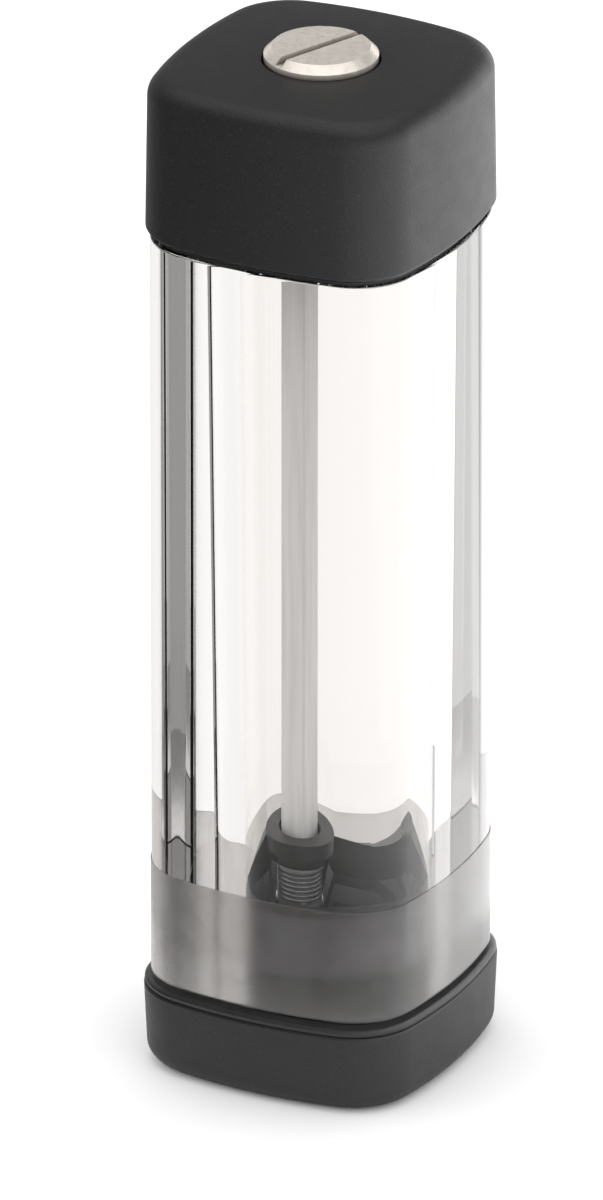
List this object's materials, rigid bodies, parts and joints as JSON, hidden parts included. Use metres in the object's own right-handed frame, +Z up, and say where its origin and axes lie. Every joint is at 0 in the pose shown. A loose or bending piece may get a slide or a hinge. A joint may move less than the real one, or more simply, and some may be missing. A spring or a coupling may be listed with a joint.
{
  "type": "pepper mill",
  "caption": "Pepper mill with a clear rounded-square body, black turning cap with a coin-slot adjuster, square drive shaft, sprung conical burrs and a black base cup.",
  "frame": {"origin": "centre of the base cup's underside", "axes": "+Z up along the drive shaft, X and Y square to the flat sides of the body"},
  "size_m": [0.049, 0.049, 0.1694],
  "materials": {
    "soft_black": "soft-touch black, very fine grain",
    "hard_black": "moulded black, low sheen",
    "clear_acrylic": "clear polished acrylic",
    "smoke_acrylic": "smoke-tinted, frosted, translucent",
    "seal_rubber": "matt",
    "burr_steel": "hardened, machined teeth",
    "zinc_steel": "zinc plated",
    "spring_steel": "drawn wire",
    "satin_shaft": "drawn square bar, satin",
    "insert_brass": "machined",
    "nickel": "turned and nickel plated, satin"
  },
  "bodies": {
    "base": {"base_cup": "soft_black", "base_liner": "hard_black"},
    "mill": {"body_tube": "clear_acrylic", "foot_sleeve": "smoke_acrylic", "neck_ring": "hard_black", "grinder_housing": "hard_black", "housing_seal": "seal_rubber", "stator_burr": "burr_steel", "stator_clamp": "hard_black", "bridge": "hard_black"},
    "drive": {"spring_seat": "zinc_steel", "spring": "spring_steel"},
    "shaft": {"drive_shaft": "satin_shaft", "rotor_burr": "burr_steel", "spring_foot": "zinc_steel", "rotor_washer": "zinc_steel", "rotor_screw": "zinc_steel"},
    "cap": {"cap_shell": "soft_black", "cap_core": "hard_black", "cap_plate": "hard_black", "drive_insert": "insert_brass", "neck_o_ring": "seal_rubber", "thrust_washer": "zinc_steel"},
    "adjuster": {"adjuster_nut": "nickel"}
  },
  "joints": [
    {"name": "mill_lift", "type": "slide", "parent": "base", "child": "mill", "axis": [0, 0, 1], "range_m": [0, 0.04]},
    {"name": "head_turn", "type": "hinge", "parent": "mill", "child": "drive", "pos_m": [0, 0, 0.034], "axis": [0, 0, 1], "continuous": true},
    {"name": "grind_adjust", "type": "slide", "parent": "drive", "child": "shaft", "axis": [0, 0, 1], "range_m": [-0.0008, 0.0008], "deforming": ["spring"]},
    {"name": "cap_lift", "type": "slide", "parent": "drive", "child": "cap", "axis": [0, 0, 1], "range_m": [0, 0.034]},
    {"name": "adjuster_turn", "type": "hinge", "parent": "cap", "child": "adjuster", "pos_m": [0, 0, 0.1668], "axis": [0, 0, 1], "range_deg": [-361, 361]}
  ],
  "couplings": [
    {"joint": "adjuster_turn", "follows": "grind_adjust", "rad_per_m": -7854}
  ]
}
